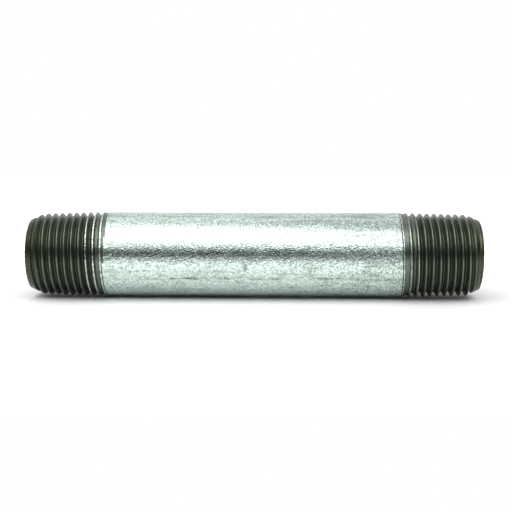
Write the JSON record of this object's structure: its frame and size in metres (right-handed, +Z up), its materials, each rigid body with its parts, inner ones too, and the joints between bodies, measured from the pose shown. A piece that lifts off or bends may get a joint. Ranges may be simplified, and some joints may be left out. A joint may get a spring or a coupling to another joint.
{
  "type": "threaded pipe nipple",
  "caption": "Straight galvanised steel pipe nipple: a plain zinc-coated barrel between two bare right-hand taper pipe threads, open right through.",
  "frame": {"origin": "on the pipe's axis, midway between the two end faces", "axes": "+X along the pipe's axis, +Z up with the nipple lying on its side, -Y towards the side that is seen in front"},
  "size_m": [0.1142, 0.0216, 0.0216],
  "materials": {
    "bare_steel": "bare cut threads, dark with cutting oil",
    "zinc": "hot-dip galvanised, bright with dull specks",
    "zinc_lining": "hot-dip galvanised, dull"
  },
  "bodies": {
    "root": {"steel_pipe": "bare_steel", "outer_zinc_coat": "zinc", "bore_zinc_coat": "zinc_lining"}
  },
  "joints": []
}
